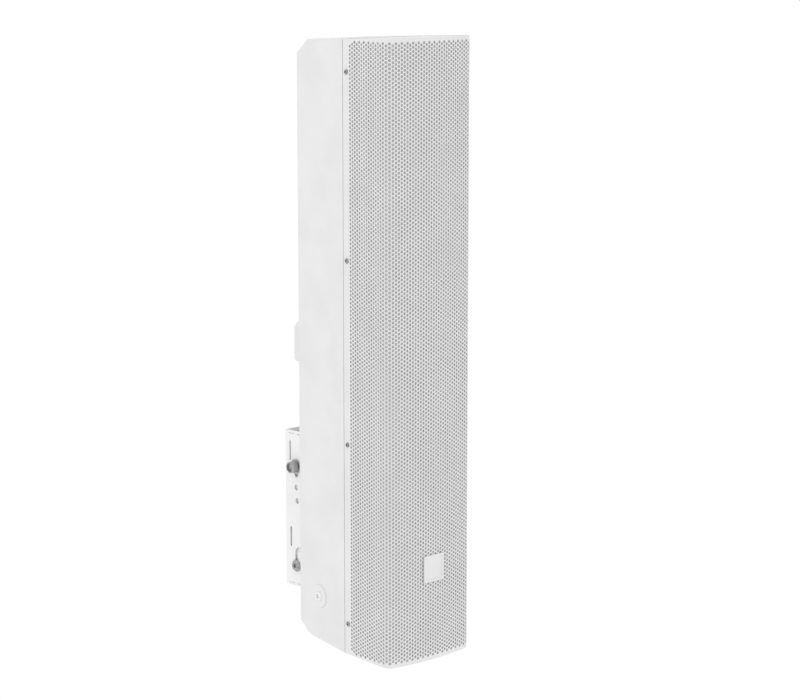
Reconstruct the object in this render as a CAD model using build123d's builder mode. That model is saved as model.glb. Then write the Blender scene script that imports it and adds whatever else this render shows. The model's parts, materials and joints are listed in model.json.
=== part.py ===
from build123d import *
import os
from math import asin, atan, cos, degrees, radians, sin

# A wall-mounted line array speaker. The frame's origin is the centre of the wall bracket's rear
# face. +Y points into the wall, -Y towards the audience and +Z up. Millimetres.

# Driving dimensions of the enclosure. Depths run back from its two front corners.
front_height = 1007.0
front_width = 186.0
front_bulge = 9.6
front_corner_radius = 14.5
seam_depth = 104.0
seam_width = 181.5
enclosure_depth = 231.5
back_width = 150.0
end_draft = 0.0375  # how far the top and the bottom close in for each mm of depth
rear_chamfer_depth = 22.5
rear_chamfer_height = 23.0
facet_width = 7.0
facet_height = 6.0
wall_gap = 67.5
bottom_z = -209.5

# Sheets, shells and gaps.
shell_wall = 6.0
shell_lip_depth = 8.0
shell_lip_width = 15.0
seam_gap = 1.2
gasket_recess = 1.2
grille_sheet = 1.5
fit_gap = 0.3
end_plate_thickness = 4.0
scrim_thickness = 1.2
baffle_face_depth = 91.0
screw_clearance = 0.2  # play round a screw in the part it passes through
thread_gap = 0.1  # play round a screw in the part it bites into
overcut = 2.0  # how far a cutting tool runs past the face it opens

# Drive units.
woofer_count = 6
woofer_pitch = 155.0
basket_radius = 66.0
woofer_cutout_radius = 57.5
woofer_screw_circle = 61.0
tweeter_count = 24
tweeter_pitch = 39.0
tweeter_radius = 18.0

# Brackets.
tray_half_width = 50.0
tray_sheet = 3.0
tray_height = 267.5
tray_depth = 54.5
tray_bend = 4.0
cheek_gap = 0.5
arm_sheet = 3.0
pivot_y = -29.6
pivot_z = -97.7
clamp_z = 74.0
bolt_radius = 4.0
running_gap = 0.08
wall_hole_radius = 4.25
wall_hole_spacing_x = 50.0
wall_hole_spacing_z = 220.0

# Places worked out from them.
back_y = -wall_gap
corner_y = back_y - enclosure_depth
top_z = bottom_z + front_height
mid_z = (bottom_z + top_z) / 2
grille_depth = seam_depth - seam_gap / 2
shell_depth = seam_depth + seam_gap / 2
baffle_y = corner_y + baffle_face_depth
baffle_half_width = seam_width / 2 - grille_sheet - fit_gap
side_angle = degrees(atan((seam_width - back_width) / 2 / (enclosure_depth - seam_depth)))
tray_inner_half = tray_half_width - tray_sheet
arm_outer = tray_inner_half - cheek_gap
arm_inner = arm_outer - arm_sheet
sides = (-1, 1)

os.makedirs("parts", exist_ok=True)


def save(part, label):
    """Labels a finished piece and writes its STEP file."""
    part.label = label
    export_step(part, f"parts/{label}.step")


def evenly_spaced(count, pitch):
    """Evenly pitched heights about the middle of the enclosure."""
    return [mid_z + pitch * (i - (count - 1) / 2) for i in range(count)]


woofer_heights = evenly_spaced(woofer_count, woofer_pitch)
tweeter_heights = evenly_spaced(tweeter_count, tweeter_pitch)


def wrap_half_width(depth):
    """Half the grille's outer width at a depth, carried on past the seam for cutting tools."""
    return (front_width + (seam_width - front_width) * depth / seam_depth) / 2


def facing_front(y, z=0.0):
    """A drawing plane across the speaker, its normal towards the audience."""
    return Plane(origin=(0, y, z), x_dir=(1, 0, 0), z_dir=(0, -1, 0))


def half_width(depth):
    """Half the enclosure's outer width at a depth."""
    if depth <= seam_depth:
        return wrap_half_width(depth)
    share = (depth - seam_depth) / (enclosure_depth - seam_depth)
    return (seam_width + (back_width - seam_width) * share) / 2


def end_profile(inset, front_depth, back_depth):
    """The enclosure's side view between two depths, its top and bottom drawn in by an inset."""
    chamfer_start = enclosure_depth - rear_chamfer_depth
    with BuildSketch() as profile:
        for mirrored in sides:
            ends = []
            for depth in (front_depth, min(back_depth, chamfer_start)):
                ends.append((corner_y + depth, end_draft * depth + inset))
            if back_depth > chamfer_start:
                run = back_depth - chamfer_start
                rise = run * rear_chamfer_height / rear_chamfer_depth
                ends.append((corner_y + back_depth, end_draft * chamfer_start + inset + rise))
            ends.append((ends[-1][0], front_height / 2))
            ends.append((ends[0][0], front_height / 2))
            outline = []
            for y, rise in ends:
                outline.append((y, mid_z + mirrored * (front_height / 2 - rise)))
            with BuildLine():
                Polyline(*outline, close=True)
            make_face()
    return profile.sketch


def wrapped_block(inset, back_depth, end_inset):
    """A solid with the grille's rounded plan outline and the drafted ends, drawn in by two insets."""
    reach = back_depth + inset
    with BuildSketch() as plan:
        with BuildLine():
            ThreePointArc(
                (-front_width / 2, 0), (0, -front_bulge), (front_width / 2, 0)
            )
            Polyline(
                (front_width / 2, 0),
                (wrap_half_width(reach), reach),
                (-wrap_half_width(reach), reach),
                (-front_width / 2, 0),
            )
        make_face()
        fillet(plan.vertices().group_by(Axis.Y)[0], front_corner_radius)
        if inset:
            offset(amount=-inset, kind=Kind.INTERSECTION, mode=Mode.REPLACE)
    margin = 20.0
    with BuildPart() as block:
        with BuildSketch(Plane((0, corner_y, bottom_z - margin))):
            add(plan.sketch)
        extrude(amount=front_height + 2 * margin)
        with BuildSketch(Plane.YZ):
            add(end_profile(end_inset, -margin, back_depth + margin))
        extrude(amount=front_width, both=True, mode=Mode.INTERSECT)
    return block.part


def tapered_block(inset, front_depth, back_depth):
    """A solid with the cabinet's tapered plan outline and chamfered ends, drawn in by an inset."""
    with BuildPart() as block:
        with BuildSketch(Plane((0, corner_y, bottom_z))):
            with BuildLine():
                Polyline(
                    (half_width(front_depth) - inset, front_depth),
                    (half_width(back_depth) - inset, back_depth),
                    (inset - half_width(back_depth), back_depth),
                    (inset - half_width(front_depth), front_depth),
                    close=True,
                )
            make_face()
        extrude(amount=front_height)
        with BuildSketch(Plane.YZ):
            add(end_profile(inset, front_depth, back_depth))
        extrude(amount=front_width, both=True, mode=Mode.INTERSECT)
    return block.part


def facet_planes():
    """The planes that bevel the cabinet's four long corners, wider towards the rear chamfer."""
    chamfer_start = enclosure_depth - rear_chamfer_depth
    planes = []
    for side in sides:
        for end in sides:
            outward = Vector(side, 0, end)
            centre_line = front_height / 2
            seam = Vector(
                side * half_width(seam_depth),
                corner_y + seam_depth,
                mid_z + end * (centre_line - end_draft * seam_depth),
            )
            edge_x = half_width(chamfer_start)
            edge_z = centre_line - end_draft * chamfer_start
            edge_y = corner_y + chamfer_start
            rear_z = edge_z - rear_chamfer_height
            on_side = Vector(side * edge_x, edge_y, mid_z + end * (edge_z - facet_height))
            on_end = Vector(side * (edge_x - facet_width), edge_y, mid_z + end * edge_z)
            rear = Vector(side * half_width(enclosure_depth), back_y, mid_z + end * rear_z)
            for corner in (seam, rear):
                normal = (on_side - corner).cross(on_end - corner).normalized()
                if normal.dot(outward) < 0:
                    normal = -normal
                planes.append(Plane(origin=corner, x_dir=(on_side - corner), z_dir=normal))
    return planes


def turned(points):
    """A solid turned about Z from a half profile of (radius, height) points."""
    with BuildPart() as body:
        with BuildSketch(Plane.XZ):
            with BuildLine():
                Polyline(*points, close=True)
            make_face()
        revolve(axis=Axis.Z)
    return body.part


def dome_shell(radius, rise, thickness, edge_z):
    """A thin spherical cap about Z, its rim at a height and its crown towards -Z."""
    ball = (radius**2 + rise**2) / (2 * rise)
    centre_z = edge_z - rise + ball
    reach = asin(radius / ball)

    def point(distance, angle):
        return (distance * sin(angle), centre_z - distance * cos(angle))

    inner = ball - thickness
    with BuildPart() as body:
        with BuildSketch(Plane.XZ):
            with BuildLine():
                ThreePointArc(point(ball, 0), point(ball, reach / 2), point(ball, reach))
                Line(point(ball, reach), point(inner, reach))
                ThreePointArc(point(inner, reach), point(inner, reach / 2), point(inner, 0))
                Line(point(inner, 0), point(ball, 0))
            make_face()
        revolve(axis=Axis.Z)
    return body.part


def facing_back(x, depth, z):
    """A location whose own +Z points towards the wall."""
    return Location((x, corner_y + depth, z), (-90, 0, 0))


# ---------------------------------------------------------------- enclosure

# The cabinet shell is a tray, open at the front, whose lip carries the baffle.
baffle_screw_x = 82.0
baffle_screw_rows = 8
baffle_screw_pitch = 124.0
baffle_screw_heights = evenly_spaced(baffle_screw_rows, baffle_screw_pitch)
baffle_screw_points = [(side * baffle_screw_x, z) for side in sides for z in baffle_screw_heights]
baffle_screw_radius = 2.5
baffle_screw_hole_depth = shell_lip_depth + 6.0
mouth_half_width = half_width(shell_depth) - shell_lip_width
mouth_end_margin = shell_lip_width + 4.0
mouth_half_height = front_height / 2 - end_draft * shell_depth - mouth_end_margin
cover_half_width = 60.0
cover_low_z = bottom_z + 466.0
cover_high_z = bottom_z + 534.5
cover_mid_z = (cover_low_z + cover_high_z) / 2
terminal_hole_width = 58.0
terminal_hole_height = 26.0
cover_screw_x = 50.0
cover_screw_rises = (-22.0, 17.0)
cover_screws = [(x * cover_screw_x, cover_mid_z + z) for x in sides for z in cover_screw_rises]
cover_screw_radius = 1.7
arm_screw_x = 28.0
arm_screw_heights = (-100.0, -8.0, 80.0)
arm_screws = [(x * arm_screw_x, z) for x in sides for z in arm_screw_heights]
arm_screw_radius = 3.0
rigging_depth = 175.7
rigging_z = bottom_z + 84.0
rigging_disc_radius = 19.3
rigging_bolt_radius = 5.0
rigging_planes = []
for side in sides:
    rigging_planes.append(
        Plane(
            origin=(side * half_width(rigging_depth), corner_y + rigging_depth, rigging_z),
            x_dir=(0, 0, 1),
            z_dir=(side * cos(radians(side_angle)), sin(radians(side_angle)), 0),
        )
    )

with BuildPart() as cabinet_shell:
    add(tapered_block(0, shell_depth, enclosure_depth))
    for plane in facet_planes():
        split(bisect_by=plane, keep=Keep.BOTTOM)
    add(
        tapered_block(shell_wall, shell_depth + shell_lip_depth, enclosure_depth - shell_wall),
        mode=Mode.SUBTRACT,
    )
    with BuildSketch(facing_front(corner_y + shell_depth - overcut, mid_z)):
        Rectangle(2 * mouth_half_width, 2 * mouth_half_height)
    extrude(amount=-(shell_lip_depth + 2 * overcut), mode=Mode.SUBTRACT)
    with BuildSketch(facing_front(back_y + overcut)):
        with Locations((0, cover_mid_z)):
            Rectangle(terminal_hole_width, terminal_hole_height)
        with Locations(*cover_screws):
            Circle(cover_screw_radius + screw_clearance)
        with Locations(*arm_screws):
            Circle(arm_screw_radius + screw_clearance)
    extrude(amount=shell_wall + 2 * overcut, mode=Mode.SUBTRACT)
    with BuildSketch(facing_front(corner_y + shell_depth - overcut)):
        with Locations(*baffle_screw_points):
            Circle(baffle_screw_radius + screw_clearance)
    extrude(amount=-(baffle_screw_hole_depth + overcut), mode=Mode.SUBTRACT)
    for plane in rigging_planes:
        with BuildSketch(plane.offset(overcut)):
            Circle(rigging_bolt_radius + screw_clearance)
        extrude(amount=-(shell_wall + 2 * overcut), mode=Mode.SUBTRACT)
save(cabinet_shell.part, "cabinet_shell")

# The baffle is a board behind the grille's plain strip, with six woofer cut-outs.
grille_screw_depth = 95.2
grille_screw_rows = 4
grille_screw_pitch = 299.0
grille_screw_points = [
    (corner_y + grille_screw_depth, z) for z in evenly_spaced(grille_screw_rows, grille_screw_pitch)
]
grille_screw_radius = 2.0
grille_screw_length = 12.0
grille_screw_hole_depth = grille_screw_length + 2.0
baffle_end_gap = 1.0
baffle_half_height = (
    front_height / 2 - end_draft * seam_depth - end_plate_thickness - baffle_end_gap
)
woofer_screw_count = 4
woofer_screw_angle = 45.0
woofer_screw_places = []
for height in woofer_heights:
    for number in range(woofer_screw_count):
        angle = radians(woofer_screw_angle + 360 * number / woofer_screw_count)
        woofer_screw_places.append(
            (woofer_screw_circle * cos(angle), height + woofer_screw_circle * sin(angle))
        )
woofer_screw_radius = 1.9

with BuildPart() as baffle:
    with BuildSketch(facing_front(baffle_y, mid_z)):
        Rectangle(2 * baffle_half_width, 2 * baffle_half_height)
        with Locations(*[(0, height - mid_z) for height in woofer_heights]):
            Circle(woofer_cutout_radius, mode=Mode.SUBTRACT)
        with Locations(*[(x, z - mid_z) for x, z in woofer_screw_places]):
            Circle(woofer_screw_radius + thread_gap, mode=Mode.SUBTRACT)
        with Locations(*[(x, z - mid_z) for x, z in baffle_screw_points]):
            Circle(baffle_screw_radius + screw_clearance, mode=Mode.SUBTRACT)
    extrude(amount=-(grille_depth - baffle_face_depth))
    for side in sides:
        with BuildSketch(Plane.YZ.offset(side * (baffle_half_width + overcut))):
            with Locations(*grille_screw_points):
                Circle(grille_screw_radius + thread_gap)
        extrude(amount=-side * (grille_screw_hole_depth + overcut), mode=Mode.SUBTRACT)
save(baffle.part, "baffle")

# A foam gasket seals the baffle to the shell and shows as the dark seam.
gasket_end_recess = 1.0
with BuildPart() as baffle_gasket:
    with BuildSketch(facing_front(corner_y + grille_depth, mid_z)):
        Rectangle(2 * (seam_width / 2 - gasket_recess), 2 * (baffle_half_height - gasket_end_recess))
        Rectangle(2 * mouth_half_width, 2 * mouth_half_height, mode=Mode.SUBTRACT)
        with Locations(*[(x, z - mid_z) for x, z in baffle_screw_points]):
            Circle(baffle_screw_radius + screw_clearance, mode=Mode.SUBTRACT)
    extrude(amount=-seam_gap)
save(baffle_gasket.part, "baffle_gasket")


def screw(shank_radius, shank_length, head_radius, head_height, socket_radius, socket_depth=None):
    """A pan-head screw with a hexagon socket, its head on +Z above the seat at the origin."""
    rounding = 0.6 * head_height
    socket_depth = socket_depth or rounding
    with BuildPart() as body:
        with BuildSketch():
            Circle(head_radius)
        extrude(amount=head_height)
        chamfer(body.faces().sort_by(Axis.Z)[-1].edges(), min(rounding, 0.35 * head_radius))
        with BuildSketch(Plane.XY.offset(head_height)):
            RegularPolygon(socket_radius, 6)
        extrude(amount=-socket_depth, mode=Mode.SUBTRACT)
        with BuildSketch():
            Circle(shank_radius)
        extrude(amount=-shank_length)
    return body.part


def screw_set(one, places):
    """Several copies of one screw, as a group of separate solids."""
    with BuildPart() as group:
        for place in places:
            with Locations(place):
                add(one)
    return group.part


def front_screw_places(points, seat_depth):
    """Locations for screws that go in from the front, their heads towards the audience."""
    return [Location((x, corner_y + seat_depth, z), (90, 0, 0)) for x, z in points]


def rear_screw_places(points, seat_y):
    """Locations for screws that go in from behind, their heads towards the wall."""
    return [Location((x, seat_y, z), (-90, 0, 0)) for x, z in points]


baffle_screw_reach = 4.0  # beyond the shell's lip
baffle_screw = screw(
    shank_radius=baffle_screw_radius,
    shank_length=shell_depth + shell_lip_depth - baffle_face_depth + baffle_screw_reach,
    head_radius=4.2,
    head_height=2.6,
    socket_radius=2.0,
)
baffle_screw_places = front_screw_places(baffle_screw_points, baffle_face_depth)
save(screw_set(baffle_screw, baffle_screw_places), "baffle_screws")

# The grille wraps the front and the fore half of both sides. Its perforation is left to the looks.
badge_z = bottom_z + 153.5
badge_side = 44.0
badge_pin_radius = 1.5
badge_pin_length = 5.0
badge_pins = [(side * 12.7, 0) for side in sides]
grille_front_y = corner_y - front_bulge

with BuildPart() as badge_pin_holes:
    with BuildSketch(facing_front(grille_front_y - overcut, badge_z)):
        with Locations(*badge_pins):
            Circle(badge_pin_radius + screw_clearance)
    extrude(amount=-(badge_pin_length + 2 * overcut))

tool_reach = 10.0  # how far a hollow's tool runs on beyond the open end
with BuildPart() as grille:
    add(wrapped_block(0, grille_depth, 0))
    add(wrapped_block(grille_sheet, grille_depth + tool_reach, -tool_reach), mode=Mode.SUBTRACT)
    with BuildSketch(Plane.YZ):
        with Locations(*grille_screw_points):
            Circle(grille_screw_radius + screw_clearance)
    extrude(amount=front_width, both=True, mode=Mode.SUBTRACT)
    add(badge_pin_holes.part, mode=Mode.SUBTRACT)
save(grille.part, "grille")

# Eight screws hold the grille's side flanges to the baffle's edges.
grille_screw_seat = half_width(grille_screw_depth) + 0.2
grille_screw_places = []
for side in sides:
    for y, z in grille_screw_points:
        grille_screw_places.append(Location((side * grille_screw_seat, y, z), (0, side * 90, 0)))
grille_screw = screw(
    shank_radius=grille_screw_radius,
    shank_length=grille_screw_length,
    head_radius=4.0,
    head_height=2.0,
    socket_radius=1.7,
)
save(screw_set(grille_screw, grille_screw_places), "grille_screws")

# End plates close the grille above and below.
end_plate_gap = 0.4
with BuildPart() as end_plates:
    add(wrapped_block(grille_sheet + fit_gap, grille_depth, end_plate_gap))
    add(
        wrapped_block(0, grille_depth + tool_reach, end_plate_gap + end_plate_thickness),
        mode=Mode.SUBTRACT,
    )
save(end_plates.part, "end_plates")

# A cloth scrim hangs just behind the grille.
scrim_inset = grille_sheet + fit_gap
scrim_end = end_plate_gap + end_plate_thickness + 1.0
scrim_depth = baffle_face_depth - 2.0
with BuildPart() as grille_scrim:
    add(wrapped_block(scrim_inset, scrim_depth, scrim_end))
    add(
        wrapped_block(scrim_inset + scrim_thickness, scrim_depth + tool_reach, 0),
        mode=Mode.SUBTRACT,
    )
    add(badge_pin_holes.part, mode=Mode.SUBTRACT)
save(grille_scrim.part, "grille_scrim")

# A blank square badge low on the front, held by two moulded pins.
badge_thickness = 2.2
badge_border = 4.0
badge_relief = 0.7
badge_gap = 0.1
badge_corner = 2.0
badge_panel = badge_side - 2 * badge_border
with BuildPart() as badge:
    badge_plane = facing_front(grille_front_y - badge_gap, badge_z)
    with BuildSketch(badge_plane):
        RectangleRounded(badge_side, badge_side, badge_corner)
    extrude(amount=badge_thickness)
    with BuildSketch(badge_plane.offset(badge_thickness)):
        RectangleRounded(badge_panel, badge_panel, badge_corner / 2)
    extrude(amount=-badge_relief, mode=Mode.SUBTRACT)
    with BuildSketch(badge_plane):
        with Locations(*badge_pins):
            Circle(badge_pin_radius)
    extrude(amount=-badge_pin_length)
save(badge.part, "badge")

# ---------------------------------------------------------------- woofers

# Each woofer is drawn about Z, with Z = 0 on the baffle's face and +Z towards the wall.
flange_thickness = 3.5
basket_back = 34.0
basket_waist_radius = 53.0
basket_waist_z = 20.0
basket_wall = 2.4
basket_window_size = (34.0, 26.0)
basket_window_radius = 44.0
basket_window_low_z = 3.0
basket_window_high_z = 27.0
basket_leg_count = 6
basket_bore_radius = 15.0
plate_radius = 38.0
spider_seat = 31.5
spider_seat_radius = 36.0
pole_radius = 12.0
coil_inner_radius = 12.4
coil_radius = 13.0
winding_radius = 13.4
plate_bore_radius = 13.9
top_plate_thickness = 5.0
magnet_radius = 36.0
magnet_thickness = 13.0
yoke_thickness = 5.0
cone_edge_radius = 46.0
cone_edge_z = -2.0
cone_neck_z = 19.0
cone_thickness = 1.0
dust_cap_radius = 20.0
dust_cap_rise = 7.0

basket_mouth_radius = woofer_cutout_radius - 0.7
basket_profile = [
    (basket_radius, -flange_thickness),
    (basket_radius, 0),
    (basket_mouth_radius, 0),
    (basket_waist_radius, basket_waist_z),
    (plate_radius, spider_seat - 0.5),
    (plate_radius, basket_back),
    (basket_bore_radius, basket_back),
    (basket_bore_radius, spider_seat),
    (spider_seat_radius, spider_seat),
    (spider_seat_radius, spider_seat - 2.0),
    (basket_waist_radius - basket_wall, basket_waist_z - basket_wall / 2),
    (basket_mouth_radius - basket_wall - 0.1, -1.0),
    (basket_mouth_radius - basket_wall / 2, -flange_thickness),
]
with BuildPart() as basket:
    add(turned(basket_profile))
    with BuildSketch(Plane.XY.offset(basket_window_low_z)):
        with PolarLocations(basket_window_radius, basket_leg_count):
            Rectangle(*basket_window_size)
    extrude(amount=basket_window_high_z - basket_window_low_z, mode=Mode.SUBTRACT)
    with BuildSketch(Plane.XY.offset(-flange_thickness)):
        with PolarLocations(woofer_screw_circle, woofer_screw_count, woofer_screw_angle):
            Circle(woofer_screw_radius + screw_clearance)
    extrude(amount=flange_thickness, mode=Mode.SUBTRACT)

top_plate = turned(
    [
        (plate_bore_radius, basket_back),
        (plate_radius, basket_back),
        (plate_radius, basket_back + top_plate_thickness),
        (plate_bore_radius, basket_back + top_plate_thickness),
    ]
)
magnet_front = basket_back + top_plate_thickness
magnet_back = magnet_front + magnet_thickness
magnet_bore_radius = pole_radius + 6.0
magnet = turned(
    [
        (magnet_bore_radius, magnet_front),
        (magnet_radius, magnet_front),
        (magnet_radius, magnet_back),
        (magnet_bore_radius, magnet_back),
    ]
)
yoke = turned(
    [
        (0, basket_back),
        (pole_radius, basket_back),
        (pole_radius, magnet_back),
        (magnet_radius, magnet_back),
        (magnet_radius, magnet_back + yoke_thickness),
        (0, magnet_back + yoke_thickness),
    ]
)


def cone_z(radius):
    """The height of the cone's front face at a radius."""
    slope = (cone_neck_z - cone_edge_z) / (cone_edge_radius - coil_radius)
    return cone_edge_z + slope * (cone_edge_radius - radius)


cone = turned(
    [
        (cone_edge_radius, cone_edge_z),
        (cone_edge_radius, cone_edge_z + cone_thickness),
        (coil_radius, cone_neck_z + cone_thickness),
        (coil_radius, cone_neck_z),
    ]
)
dust_cap_sheet = 0.8
dust_cap_edge_z = cone_z(dust_cap_radius) - 0.4
dust_cap = dome_shell(dust_cap_radius, dust_cap_rise, dust_cap_sheet, dust_cap_edge_z)

coil_front_z = cone_neck_z - 1.5
winding_overhang = 2.0
coil = turned(
    [
        (coil_inner_radius, coil_front_z),
        (coil_radius, coil_front_z),
        (coil_radius, basket_back - winding_overhang),
        (winding_radius, basket_back - winding_overhang),
        (winding_radius, magnet_front + winding_overhang),
        (coil_inner_radius, magnet_front + winding_overhang),
    ]
)

surround_inner = cone_edge_radius + fit_gap
surround_outer = 54.1
roll_inner = surround_inner + 1.5
roll_outer = surround_outer - 1.0
roll_middle = (roll_inner + roll_outer) / 2
roll_height = 5.0
sheet = 0.8
surround_z = cone_edge_z
with BuildPart() as surround:
    with BuildSketch(Plane.XZ):
        with BuildLine():
            Line((surround_inner, surround_z + sheet), (surround_inner, surround_z))
            Line((surround_inner, surround_z), (roll_inner, surround_z))
            ThreePointArc(
                (roll_inner, surround_z),
                (roll_middle, surround_z - roll_height),
                (roll_outer, surround_z),
            )
            Line((roll_outer, surround_z), (surround_outer, surround_z))
            Line((surround_outer, surround_z), (surround_outer, surround_z + sheet))
            Line((surround_outer, surround_z + sheet), (roll_outer - sheet, surround_z + sheet))
            ThreePointArc(
                (roll_outer - sheet, surround_z + sheet),
                (roll_middle, surround_z - roll_height + sheet),
                (roll_inner + sheet, surround_z + sheet),
            )
            Line((roll_inner + sheet, surround_z + sheet), (surround_inner, surround_z + sheet))
        make_face()
    revolve(axis=Axis.Z)

spider_z = 24.0
spider_radius = 35.5
spider_rim = 3.0
spider_bevel_radius = 34.0
spider = turned(
    [
        (winding_radius + fit_gap, spider_z),
        (spider_bevel_radius, spider_z),
        (spider_radius, spider_z + spider_rim),
        (spider_radius, spider_seat),
        (spider_radius - spider_rim, spider_seat),
        (spider_radius - spider_rim, spider_z + sheet),
        (winding_radius + fit_gap, spider_z + sheet),
    ]
)


def one_per_woofer(piece):
    """Copies of a woofer piece, one at each woofer, as a group of separate solids."""
    return screw_set(piece, [facing_back(0, baffle_face_depth, z) for z in woofer_heights])


for number, height in enumerate(woofer_heights, start=1):
    place = facing_back(0, baffle_face_depth, height)
    for pieces, role in (([basket.part], "basket"), ([cone, dust_cap], "cone"), ([coil], "coil")):
        with BuildPart() as placed:
            with Locations(place):
                add(pieces)
        save(placed.part, f"woofer_{number}_{role}")

save(one_per_woofer(top_plate), "woofer_top_plates")
save(one_per_woofer(magnet), "woofer_magnets")
save(one_per_woofer(yoke), "woofer_yokes")
save(one_per_woofer(surround.part), "woofer_surrounds")
save(one_per_woofer(spider), "woofer_spiders")

woofer_screw = screw(
    shank_radius=woofer_screw_radius,
    shank_length=13.0,
    head_radius=3.4,
    head_height=2.4,
    socket_radius=1.6,
)
woofer_screw_seats = front_screw_places(woofer_screw_places, baffle_face_depth - flange_thickness)
save(screw_set(woofer_screw, woofer_screw_seats), "woofer_screws")

# ---------------------------------------------------------------- high-frequency line

# The waveguide is a flared channel that runs down the middle, in front of the woofers.
horn_back_depth = 49.0
horn_face_depth = 14.0
horn_mouth_half = 34.0
horn_throat_half = 14.0
horn_flange_half = 25.0
horn_wall = 2.5
horn_half_height = 470.0
horn_plane = Plane((0, corner_y, mid_z - horn_half_height))
tweeter_throat_radius = 11.0

with BuildPart() as waveguide:
    with BuildSketch(horn_plane):
        for side in sides:
            with BuildLine():
                Polyline(
                    (side * horn_throat_half, horn_back_depth - horn_wall),
                    (side * horn_mouth_half, horn_face_depth),
                    (side * (horn_mouth_half + horn_wall), horn_face_depth),
                    (side * (horn_throat_half + horn_wall), horn_back_depth),
                    (side * (horn_throat_half - 1), horn_back_depth),
                    close=True,
                )
            make_face()
        with BuildLine():
            Polyline(
                (-horn_flange_half, horn_back_depth),
                (-horn_flange_half, horn_back_depth - horn_wall),
                (horn_flange_half, horn_back_depth - horn_wall),
                (horn_flange_half, horn_back_depth),
                close=True,
            )
        make_face()
    extrude(amount=2 * horn_half_height)
    with BuildSketch(facing_front(corner_y + horn_back_depth - horn_wall - overcut)):
        with Locations(*[(0, z) for z in tweeter_heights]):
            Circle(tweeter_throat_radius)
    extrude(amount=-(horn_wall + 2 * overcut), mode=Mode.SUBTRACT)
save(waveguide.part, "waveguide")

# Seven saddles stand on the baffle between the woofers and carry the waveguide.
saddle_height = 14.0
saddle_recess_depth = 60.5
saddle_recess_half = tweeter_radius + 1.0
with BuildPart() as waveguide_saddles:
    for z in evenly_spaced(woofer_count + 1, woofer_pitch):
        with BuildSketch(Plane((0, corner_y, z - saddle_height / 2))):
            with BuildLine():
                Polyline(
                    (-horn_flange_half, horn_back_depth),
                    (-horn_flange_half, baffle_face_depth),
                    (horn_flange_half, baffle_face_depth),
                    (horn_flange_half, horn_back_depth),
                    (saddle_recess_half, horn_back_depth),
                    (saddle_recess_half, saddle_recess_depth),
                    (-saddle_recess_half, saddle_recess_depth),
                    (-saddle_recess_half, horn_back_depth),
                    close=True,
                )
            make_face()
        extrude(amount=saddle_height)
save(waveguide_saddles.part, "waveguide_saddles")

# Small dome tweeters sit against the back of the waveguide.
dome_radius = 10.0
dome_rise = 3.0
dome_sheet = 0.4
dome_edge_z = 3.6
housing_depth = 11.0
housing_radius = 14.0
housing_flange = 4.0
housing = turned(
    [
        (tweeter_throat_radius, 0),
        (tweeter_radius, 0),
        (tweeter_radius, housing_flange),
        (housing_radius, housing_flange + 1.0),
        (housing_radius, housing_depth),
        (0, housing_depth),
        (0, housing_flange),
        (tweeter_throat_radius, housing_flange),
    ]
)
tweeter_places = [facing_back(0, horn_back_depth, z) for z in tweeter_heights]
save(screw_set(housing, tweeter_places), "tweeter_housings")

dome = dome_shell(dome_radius, dome_rise, dome_sheet, dome_edge_z)
save(screw_set(dome, tweeter_places), "tweeter_domes")

# ---------------------------------------------------------------- crossover and terminals

board_width = 90.0
board_height = 150.0
board_thickness = 1.6
board_depth = 212.0
board_z = bottom_z + 650.0
board_back_y = corner_y + board_depth + board_thickness
standoff_x = 38.0
standoff_rises = (-68.0, 0.0, 68.0)
standoff_points = [(side * standoff_x, board_z + z) for side in sides for z in standoff_rises]
standoff_radius = 3.0

with BuildPart() as crossover_board:
    with Locations((0, board_back_y - board_thickness / 2, board_z)):
        Box(board_width, board_thickness, board_height)
save(crossover_board.part, "crossover_board")

standoff_length = enclosure_depth - shell_wall - board_depth - board_thickness
with BuildPart() as board_standoffs:
    with BuildSketch(facing_front(board_back_y)):
        with Locations(*standoff_points):
            RegularPolygon(standoff_radius, 6)
    extrude(amount=-standoff_length)
save(board_standoffs.part, "board_standoffs")


def on_board(points):
    """Locations on the crossover board's face, own +Z towards the audience."""
    return [Location((x, corner_y + board_depth, board_z + z), (90, 0, 0)) for x, z in points]


inductor_bore = 6.0
inductor_radius = 16.0
inductor_height = 14.0
inductor_points = [(side * 24.0, z) for side in sides for z in (-50.0, 48.0)]
inductor = turned(
    [
        (inductor_bore, 0),
        (inductor_radius, 0),
        (inductor_radius, inductor_height),
        (inductor_bore, inductor_height),
    ]
)
save(screw_set(inductor, on_board(inductor_points)), "inductors")

capacitor_radius = 8.0
capacitor_height = 26.0
capacitor_bevel = 1.0
capacitor_points = [(x, z) for x in (-26.0, 0.0, 26.0) for z in (-14.0, 14.0)]
capacitor = turned(
    [
        (0, 0),
        (capacitor_radius, 0),
        (capacitor_radius, capacitor_height - capacitor_bevel),
        (capacitor_radius - capacitor_bevel, capacitor_height),
        (0, capacitor_height),
    ]
)
save(screw_set(capacitor, on_board(capacitor_points)), "capacitors")

resistor_height = 10.0
resistor_thickness = 9.0
resistors_along_board = ((-66.0, 9.0), (-28.0, 40.0), (28.0, 40.0), (66.0, 9.0))
with BuildPart() as resistors:
    for rise, length in resistors_along_board:
        with Locations((0, corner_y + board_depth - resistor_height / 2, board_z + rise)):
            Box(length, resistor_height, resistor_thickness)
save(resistors.part, "resistors")

# The terminal plate and block sit on the shell's back, under a weather cover.
plate_thickness = 2.5
with BuildPart() as terminal_plate:
    with BuildSketch(facing_front(back_y, cover_mid_z)):
        Rectangle(84.0, 40.0)
        with GridLocations(68.0, 0, 2, 1):
            Circle(2.0, mode=Mode.SUBTRACT)
    extrude(amount=-plate_thickness)
save(terminal_plate.part, "terminal_plate")

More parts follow.
